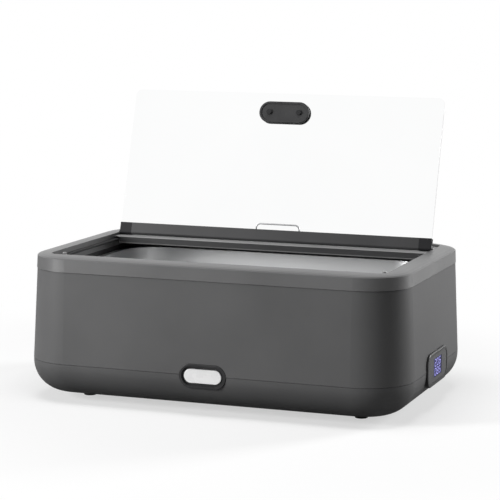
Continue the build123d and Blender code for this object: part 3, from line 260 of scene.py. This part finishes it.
def tones(tree, source, dark, light):
    """Spreads a pattern between two colours."""
    node = tree.nodes.new("ShaderNodeValToRGB")
    first, last = node.color_ramp.elements[0], node.color_ramp.elements[1]
    first.position, first.color = NOISE_LOW, (*dark, 1.0)
    last.position, last.color = NOISE_HIGH, (*light, 1.0)
    tree.links.new(source, node.inputs["Fac"])
    return node.outputs["Color"]


def gloss_range(tree, source, rough):
    """Spreads a pattern between two roughnesses."""
    return spread(tree, source, (NOISE_LOW, NOISE_HIGH), rough).outputs["Result"]


print("noise is read from", NOISE_LOW, "to", NOISE_HIGH)

# %% [markdown]
# A finish puts these together in one Principled shader: slow noise drives its colour and roughness, and fine noise
# drives its bump. What is the same all over a surface, such as how metallic it is, is set on the shader itself.
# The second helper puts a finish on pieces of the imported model, which keep their shape.

# %% A finish, and how to put it on
def finish(name, dark, light, rough, scale=9.0, grain=900.0, bump=0.15, depth=0.0001,
           metal=0.0, specular=0.5, stretch=(1.0, 1.0, 1.0)):
    """A finish with a slow change of tone and gloss and a fine grain."""
    material, tree = new_material(name)
    slow = pattern(tree, scale, stretch=stretch)
    shader = tree.nodes.new("ShaderNodeBsdfPrincipled")
    shader.inputs["Metallic"].default_value = metal
    shader.inputs["Specular IOR Level"].default_value = specular
    tree.links.new(tones(tree, slow, dark, light), shader.inputs["Base Color"])
    tree.links.new(gloss_range(tree, slow, rough), shader.inputs["Roughness"])
    relief = tree.nodes.new("ShaderNodeBump")
    relief.inputs["Strength"].default_value = bump
    relief.inputs["Distance"].default_value = depth
    tree.links.new(pattern(tree, grain, detail=2.0, stretch=stretch), relief.inputs["Height"])
    tree.links.new(relief.outputs["Normal"], shader.inputs["Normal"])
    close_graph(tree, shader.outputs["BSDF"])
    return material


def dress(material, *names):
    """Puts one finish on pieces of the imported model."""
    for name in names:
        mesh = nodes[name].data
        mesh.materials.clear()
        mesh.materials.append(material)
    print(material.name, "on", ", ".join(names))


print("packed pieces to dress:", len(nodes))

# %% [markdown]
# The housing is moulded in a dark grey plastic with a fine spark-eroded grain, which makes broad, soft highlights.
# The body is the lightest of the three mouldings. The top frame comes from another tool and is a little glossier,
# so that its crown catches the light.

# %% Body and top frame
body_grey = finish("body_grey", (0.096, 0.096, 0.097), (0.108, 0.108, 0.109), (0.42, 0.5), specular=0.1)
dress(body_grey, "body_shell")
frame_grey = finish("frame_grey", (0.092, 0.092, 0.093), (0.104, 0.104, 0.105), (0.34, 0.42))
dress(frame_grey, "top_frame")

# %% [markdown]
# The base tucks in towards the table on a large radius, and the shade that falls on it there is painted into its
# colour.
# A second material would leave a line, so the base's own colour is scaled by its height as painted shade: full near
# the seam, and about a third of that at the bottom. The height is the Z of Object coordinates.

# %% Base with painted shade towards the table
BASE_SHADE_HEIGHTS = (0.012, 0.056)
BASE_SHADE_SHARES = (0.36, 1.06)

base_grey = finish("base_grey", (0.078, 0.078, 0.079), (0.09, 0.09, 0.091), (0.42, 0.5), specular=0.15)
tree = base_grey.node_tree
colour = next(node for node in tree.nodes if node.type == "BSDF_PRINCIPLED").inputs["Base Color"]
axes = tree.nodes.new("ShaderNodeSeparateXYZ")
tree.links.new(tree.nodes.new("ShaderNodeTexCoord").outputs["Object"], axes.inputs[0])
# Painted shade: the base's colour is scaled by height, darker towards the table.
shade_share = spread(tree, axes.outputs["Z"], BASE_SHADE_HEIGHTS, BASE_SHADE_SHARES)
painted_shade = tree.nodes.new("ShaderNodeVectorMath")
painted_shade.operation = "SCALE"
tree.links.new(colour.links[0].from_socket, painted_shade.inputs[0])
tree.links.new(shade_share.outputs["Result"], painted_shade.inputs["Scale"])
tree.links.new(painted_shade.outputs["Vector"], colour)
dress(base_grey, "base_shell")

# %% [markdown]
# The lid's channel and the hatch are steel sheet with a black powder coat. A powder coat has a slightly pebbled
# skin, so its bump is stronger than the plastic's. The well, the ring that carries the deck and the screws of the
# handle are blacker and duller, with hardly any highlight, so they get a finish of their own.

# %% Black metal
COAT_DARK, COAT_LIGHT = (0.028, 0.028, 0.029), (0.038, 0.038, 0.039)

powder_coat = finish("powder_coat", COAT_DARK, COAT_LIGHT, (0.38, 0.5), grain=1400.0, bump=0.25, specular=0.25)
dress(powder_coat, "lid_channel", "hatch")
well_black = finish("well_black", (0.012, 0.012, 0.013), (0.02, 0.02, 0.021), (0.5, 0.62),
                    grain=1200.0, bump=0.2, specular=0.15)
dress(well_black, "inner_well", "cover_frame", "handle_screws")

# %% [markdown]
# The deck is coated sheet too, in the same black coat. Its upward faces and the fold of its front edge carry a
# painted sheen: they are painted far lighter, for the light that falls on the top. They could be given a second
# material, but the change would be a hard line. The surface normal tells them apart smoothly: its upward part is 1
# on the top, 0 on the lip, and in between on the fold.

# %% Deck with a painted sheen on top
DECK_PAINTED_SHEEN_DARK, DECK_PAINTED_SHEEN_LIGHT = (0.26, 0.26, 0.262), (0.34, 0.34, 0.342)

deck_coat, tree = new_material("deck_coat")
slow = pattern(tree, 12.0, stretch=(0.3, 1.0, 1.0))
facing = tree.nodes.new("ShaderNodeSeparateXYZ")
tree.links.new(tree.nodes.new("ShaderNodeTexCoord").outputs["Normal"], facing.inputs["Vector"])
# Painted sheen: the upward faces take the far lighter tones, and the lip keeps the black coat.
upper = spread(tree, facing.outputs["Z"], (0.1, 0.7), (0.0, 1.0))
coat_and_painted_sheen = tree.nodes.new("ShaderNodeMix")
coat_and_painted_sheen.data_type = "RGBA"
tree.links.new(upper.outputs["Result"], coat_and_painted_sheen.inputs["Factor"])
tree.links.new(tones(tree, slow, COAT_DARK, COAT_LIGHT), coat_and_painted_sheen.inputs["A"])
tree.links.new(tones(tree, slow, DECK_PAINTED_SHEEN_DARK, DECK_PAINTED_SHEEN_LIGHT), coat_and_painted_sheen.inputs["B"])
shader = tree.nodes.new("ShaderNodeBsdfPrincipled")
shader.inputs["Specular IOR Level"].default_value = 0.3
tree.links.new(coat_and_painted_sheen.outputs["Result"], shader.inputs["Base Color"])
tree.links.new(gloss_range(tree, slow, (0.36, 0.46)), shader.inputs["Roughness"])
close_graph(tree, shader.outputs["BSDF"])
dress(deck_coat, "rear_deck")

# %% [markdown]
# The bezel, the handle, the control housing and the fittings at the back are a satin black plastic. The end caps of
# the lid are a softer, blacker one. Handled parts vary over a shorter distance than the housing does, so the slow
# noise is finer here.

# %% Black plastic
satin_black = finish("satin_black", (0.022, 0.022, 0.023), (0.032, 0.032, 0.033), (0.34, 0.44),
                     scale=25.0, specular=0.25)
dress(satin_black, "control_housing", "badge_bezel", "handle_plate", "handle_grip",
      "power_inlet", "switch_housing", "switch_rocker", "terminal_block")
cap_black = finish("cap_black", (0.008, 0.008, 0.009), (0.014, 0.014, 0.015), (0.5, 0.6),
                   scale=25.0, specular=0.15)
dress(cap_black, "lid_end_caps")

# %% [markdown]
# The pan is drawn from stainless sheet and brushed. Drawing leaves faint, soft blotches, and brushing leaves fine
# lines along the pan. An anisotropic shader could show the brushing, but its direction is hard to keep round the
# corners, so the noise itself is stretched along X.

# %% Pan
BRUSHED_ALONG_X = (0.06, 1.0, 1.0)

pan_steel = finish("pan_steel", (0.46, 0.463, 0.466), (0.62, 0.623, 0.626), (0.38, 0.5),
                   scale=7.0, grain=500.0, bump=0.06, metal=1.0, stretch=BRUSHED_ALONG_X)
dress(pan_steel, "food_pan")

# %% [markdown]
# The other metals are plain bright steel, zinc plated screws with a spotty, slightly yellow tone, and the cast
# aluminium of the heater plate, which is the roughest of them.

# %% Other metals
plain_steel = finish("plain_steel", (0.42, 0.42, 0.43), (0.52, 0.52, 0.53), (0.3, 0.42), metal=1.0)
dress(plain_steel, "heat_shield", "element_clamps", "heating_element", "temperature_sensor", "hinge_pins",
      "wire_bail")
zinc_plate = finish("zinc_plate", (0.4, 0.41, 0.4), (0.5, 0.5, 0.48), (0.32, 0.45), scale=120.0, metal=1.0)
dress(zinc_plate, "base_screws", "frame_screws", "well_screws", "foot_screws", "hatch_screws",
      "inlet_screws", "deck_screws", "board_screws")
cast_aluminium = finish("cast_aluminium", (0.55, 0.55, 0.56), (0.68, 0.68, 0.69), (0.42, 0.56),
                        bump=0.3, metal=1.0)
dress(cast_aluminium, "heater_plate")

# %% [markdown]
# Feet, seals and leads are rubber, which is matt and slightly dusty. The trim under the deck's lip is a greyer
# rubber, and the pads that the closed lid lands on are pale silicone.

# %% Rubber
matt_rubber = finish("matt_rubber", (0.02, 0.02, 0.02), (0.035, 0.035, 0.035), (0.7, 0.85), scale=60.0, bump=0.3)
dress(matt_rubber, "feet", "lid_gasket", "handle_seals", "wiring")
trim_rubber = finish("trim_rubber", (0.07, 0.07, 0.07), (0.1, 0.1, 0.1), (0.55, 0.7), scale=60.0, bump=0.2)
dress(trim_rubber, "deck_trim")
pad_silicone = finish("pad_silicone", (0.26, 0.26, 0.26), (0.34, 0.34, 0.34), (0.4, 0.55), scale=90.0, bump=0.1)
dress(pad_silicone, "cover_bumpers")

# %% [markdown]
# The badge plate is a pale enamel, smooth with hardly any grain. The film over the touch keys is as smooth, but
# nearly black. Inside, the boards have a green lacquer, and the insulation is a mineral felt. Felt is fibrous, so
# its bump is ten times as deep as a plastic's.

# %% Plate, film, boards and felt
badge_enamel = finish("badge_enamel", (0.78, 0.78, 0.78), (0.84, 0.84, 0.84), (0.22, 0.3), scale=30.0, bump=0.03)
dress(badge_enamel, "badge_plate")
touch_film = finish("touch_film", (0.03, 0.03, 0.033), (0.04, 0.04, 0.043), (0.22, 0.3), scale=30.0, bump=0.04)
dress(touch_film, "control_fascia")
board_green = finish("board_green", (0.02, 0.12, 0.05), (0.03, 0.17, 0.07), (0.4, 0.5), scale=90.0)
dress(board_green, "control_board", "display_module", "thermal_cutout")
mineral_felt = finish("mineral_felt", (0.6, 0.57, 0.48), (0.75, 0.72, 0.62), (0.85, 0.95),
                      scale=80.0, bump=0.8, depth=0.001)
dress(mineral_felt, "insulation_blanket")

# %% [markdown]
# The screen is a dark blue panel with a light behind it, and its figures are lit more brightly. Both are the same
# kind of finish: a Principled shader whose colour also glows, with slow noise, because a backlight is never even.
# A lamp behind real glass would give the same look at a far higher cost.

# %% Screen
def lit_finish(name, dark, light, scale, rough, specular, strength):
    """A surface that glows in its own colour."""
    material, tree = new_material(name)
    shader = tree.nodes.new("ShaderNodeBsdfPrincipled")
    shader.inputs["Roughness"].default_value = rough
    shader.inputs["Specular IOR Level"].default_value = specular
    shader.inputs["Emission Strength"].default_value = strength
    colour = tones(tree, pattern(tree, scale), dark, light)
    tree.links.new(colour, shader.inputs["Base Color"])
    tree.links.new(colour, shader.inputs["Emission Color"])
    close_graph(tree, shader.outputs["BSDF"])
    return material


screen_blue = lit_finish("screen_blue", (0.006, 0.007, 0.05), (0.01, 0.012, 0.075),
                         scale=60.0, rough=0.12, specular=0.08, strength=0.6)
dress(screen_blue, "display_window")

# %% [markdown]
# The lid is a clear sheet. Real refraction through so thin a sheet hardly bends anything, and it is slow and noisy,
# so the sheet is a clear shader with a gloss that grows at a glancing angle. The gloss is only on the outside of
# each face. On the inside, the node that measures the angle would throw all slanting light back, and the sheet
# would turn black from above. A faint smoke pattern in the tint keeps it from looking like empty air.

# %% Clear lid
SHEET_IOR = 1.35

clear_sheet, tree = new_material("clear_sheet")
clear = tree.nodes.new("ShaderNodeBsdfTransparent")
tint = tones(tree, pattern(tree, 5.0), (0.982, 0.984, 0.984), (0.992, 0.993, 0.993))
tree.links.new(tint, clear.inputs["Color"])
gloss = tree.nodes.new("ShaderNodeBsdfGlossy")
gloss.inputs["Roughness"].default_value = 0.04
glancing = tree.nodes.new("ShaderNodeFresnel")
glancing.inputs["IOR"].default_value = SHEET_IOR
inside = tree.nodes.new("ShaderNodeNewGeometry").outputs["Backfacing"]
outside = combine(tree, "SUBTRACT", 1.0, inside)
mix = tree.nodes.new("ShaderNodeMixShader")
tree.links.new(combine(tree, "MULTIPLY", glancing.outputs["Fac"], outside), mix.inputs["Fac"])
tree.links.new(clear.outputs["BSDF"], mix.inputs[1])
tree.links.new(gloss.outputs["BSDF"], mix.inputs[2])
close_graph(tree, mix.outputs["Shader"])
dress(clear_sheet, "lid_glass")

# %% [markdown]
# The screen shows two rows of plain figures. On a real display each figure is made of up to seven bars, so a
# figure is described here by the names of its bars, and each bar by its place in the figure: across and up, from
# the figure's middle, in half heights and whole widths, and whether it lies flat.

# %% The seven bars
BARS = {
    "top": (0.0, 1.0, True), "middle": (0.0, 0.0, True), "bottom": (0.0, -1.0, True),
    "upper_left": (-0.5, 0.5, False), "upper_right": (0.5, 0.5, False),
    "lower_left": (-0.5, -0.5, False), "lower_right": (0.5, -0.5, False),
}
FIGURES = {
    "0": ("top", "bottom", "upper_left", "upper_right", "lower_left", "lower_right"),
    "2": ("top", "middle", "bottom", "upper_right", "lower_left"),
    "5": ("top", "middle", "bottom", "upper_left", "lower_right"),
    "6": ("top", "middle", "bottom", "upper_left", "lower_left", "lower_right"),
    "8": tuple(BARS),
}
print("figures that can be shown:", ", ".join(FIGURES))

# %% [markdown]
# A text object would be quicker, but its letter shapes look nothing like bars. So a bar is a thin block, as wide
# and high as it needs, with the corners of its outline bevelled off. That gives it the pointed ends of a real bar.

# %% One bar
SCREEN_FACE_X = 0.3052
BAR_THICKNESS = 0.0002
POINT_SHARE = 0.42


def bar(y, z, width, height):
    """One bar of a figure, flat on the screen."""
    bpy.ops.mesh.primitive_cube_add(size=1.0, location=(SCREEN_FACE_X + BAR_THICKNESS / 2, y, z))
    piece = bpy.context.object
    piece.scale = (BAR_THICKNESS, width, height)
    bpy.ops.object.transform_apply(location=True, rotation=True, scale=True)
    points = piece.modifiers.new("points", "BEVEL")
    points.width = min(width, height) * POINT_SHARE
    points.limit_method = "NONE"
    points.affect = "VERTICES"
    bpy.ops.object.modifier_apply(modifier=points.name)
    return piece


print("bars stand", BAR_THICKNESS * 1000, "mm thick on the screen")

# %% [markdown]
# A row places the figures side by side, and each figure's bars round its middle. The rows are then joined into one
# piece, which rides with the housing.

# %% Two rows of figures
FIGURE_WIDTH, FIGURE_HEIGHT = 0.0082, 0.0102
FIGURE_PITCH = FIGURE_WIDTH * 1.55
STROKE = 0.0010
FLAT_LENGTH = FIGURE_WIDTH * 0.8
UPRIGHT_LENGTH = FIGURE_HEIGHT * 0.42
ROWS = (("206", 0.0699), ("085", 0.0561))


def row_of_figures(text, row_z):
    """The bars of a row that is centred on the screen at a height."""
    made = []
    for i, sign in enumerate(text):
        y = (i - (len(text) - 1) / 2) * FIGURE_PITCH
        for name in FIGURES[sign]:
            across, up, flat = BARS[name]
            size = (FLAT_LENGTH, STROKE) if flat else (STROKE, UPRIGHT_LENGTH)
            made.append(bar(y + across * FIGURE_WIDTH, row_z + up * FIGURE_HEIGHT / 2, *size))
    return made


bpy.ops.object.select_all(action="DESELECT")
bars = [piece for text, row_z in ROWS for piece in row_of_figures(text, row_z)]
bpy.ops.object.select_all(action="DESELECT")
for piece in bars:
    piece.select_set(True)
bpy.context.view_layer.objects.active = bars[0]
bpy.ops.object.join()
figures = bpy.context.object
figures.name = "screen_figures"
bpy.ops.object.transform_apply(location=True, rotation=True, scale=True)
figures.data.materials.append(lit_finish("lit_figures", (0.2, 0.19, 0.5), (0.32, 0.3, 0.7),
                                         scale=150.0, rough=0.4, specular=0.5, strength=1.0))
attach(figures, "housing")
print("figures:", len(bars), "bars,", len(figures.data.polygons), "faces")
